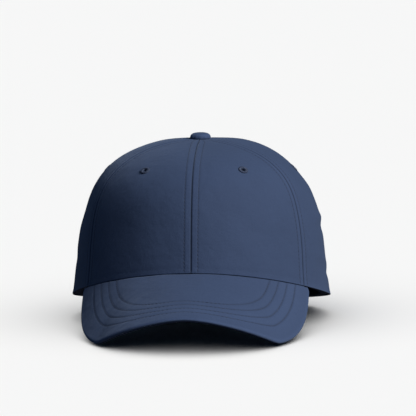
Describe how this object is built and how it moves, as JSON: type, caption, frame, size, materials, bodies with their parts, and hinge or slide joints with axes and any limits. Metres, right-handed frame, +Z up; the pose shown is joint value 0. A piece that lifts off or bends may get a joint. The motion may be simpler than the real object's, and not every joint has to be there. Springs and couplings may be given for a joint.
{
  "type": "baseball cap",
  "caption": "Panelled twill cap with a curved stitched brim, eyelets and a covered top button; its half-moon back opening closes with a cloth strap and a hinged clasp.",
  "frame": {"origin": "centre of the bounding box, on the surface that the cap stands on: it rests on the two corners of its brim and on the back corners of its crown", "axes": "+Z up, the front of the cap looks along -Y, +X is the wearer's left"},
  "size_m": [0.1896, 0.2676, 0.1339],
  "materials": {
    "crown_twill": "matte cotton twill",
    "brim_twill": "matte cotton twill",
    "strap_twill": "matte cotton twill",
    "eyelet_thread": "satin polyester thread",
    "buckram": "open stiffened weave",
    "seam_tape": "matte cotton tape",
    "sweatband_twill": "matte cotton twill",
    "foam": "soft open-cell foam",
    "button_metal": "pressed",
    "brim_board": "smooth sheet",
    "clasp_metal": "antique brushed"
  },
  "bodies": {
    "cap": {"back_arch_binding": "seam_tape", "back_left_eyelet": "eyelet_thread", "back_left_panel": "crown_twill", "back_right_eyelet": "eyelet_thread", "back_right_panel": "crown_twill", "brim_board": "brim_board", "brim_top_cover": "brim_twill", "brim_under_cover": "brim_twill", "button_cover": "crown_twill", "button_rivet": "button_metal", "button_shell": "button_metal", "button_washer": "button_metal", "clasp_frame": "clasp_metal", "clasp_pin": "clasp_metal", "front_centre_seam_tape": "seam_tape", "front_left_buckram": "buckram", "front_left_eyelet": "eyelet_thread", "front_left_panel": "crown_twill", "front_left_seam_tape": "seam_tape", "front_right_buckram": "buckram", "front_right_eyelet": "eyelet_thread", "front_right_panel": "crown_twill", "front_right_seam_tape": "seam_tape", "rear_centre_seam_tape": "seam_tape", "rear_left_seam_tape": "seam_tape", "rear_right_seam_tape": "seam_tape", "side_left_eyelet": "eyelet_thread", "side_left_panel": "crown_twill", "side_right_eyelet": "eyelet_thread", "side_right_panel": "crown_twill", "strap_tab": "strap_twill", "sweatband": "sweatband_twill", "sweatband_foam": "foam"},
    "strap": {"adjuster_strap": "strap_twill"},
    "lever": {"clasp_lever": "clasp_metal"}
  },
  "joints": [
    {"name": "strap_slide", "type": "hinge", "parent": "cap", "child": "strap", "pos_m": [0, 0.03795, 0.01525], "axis": [0, -0.184, -0.9829], "range_deg": [-12, 12]},
    {"name": "clasp_flip", "type": "hinge", "parent": "cap", "child": "lever", "pos_m": [0.01588, 0.12705, 0.00142], "axis": [0, 0.184, 0.9829], "range_deg": [0, 110]}
  ]
}
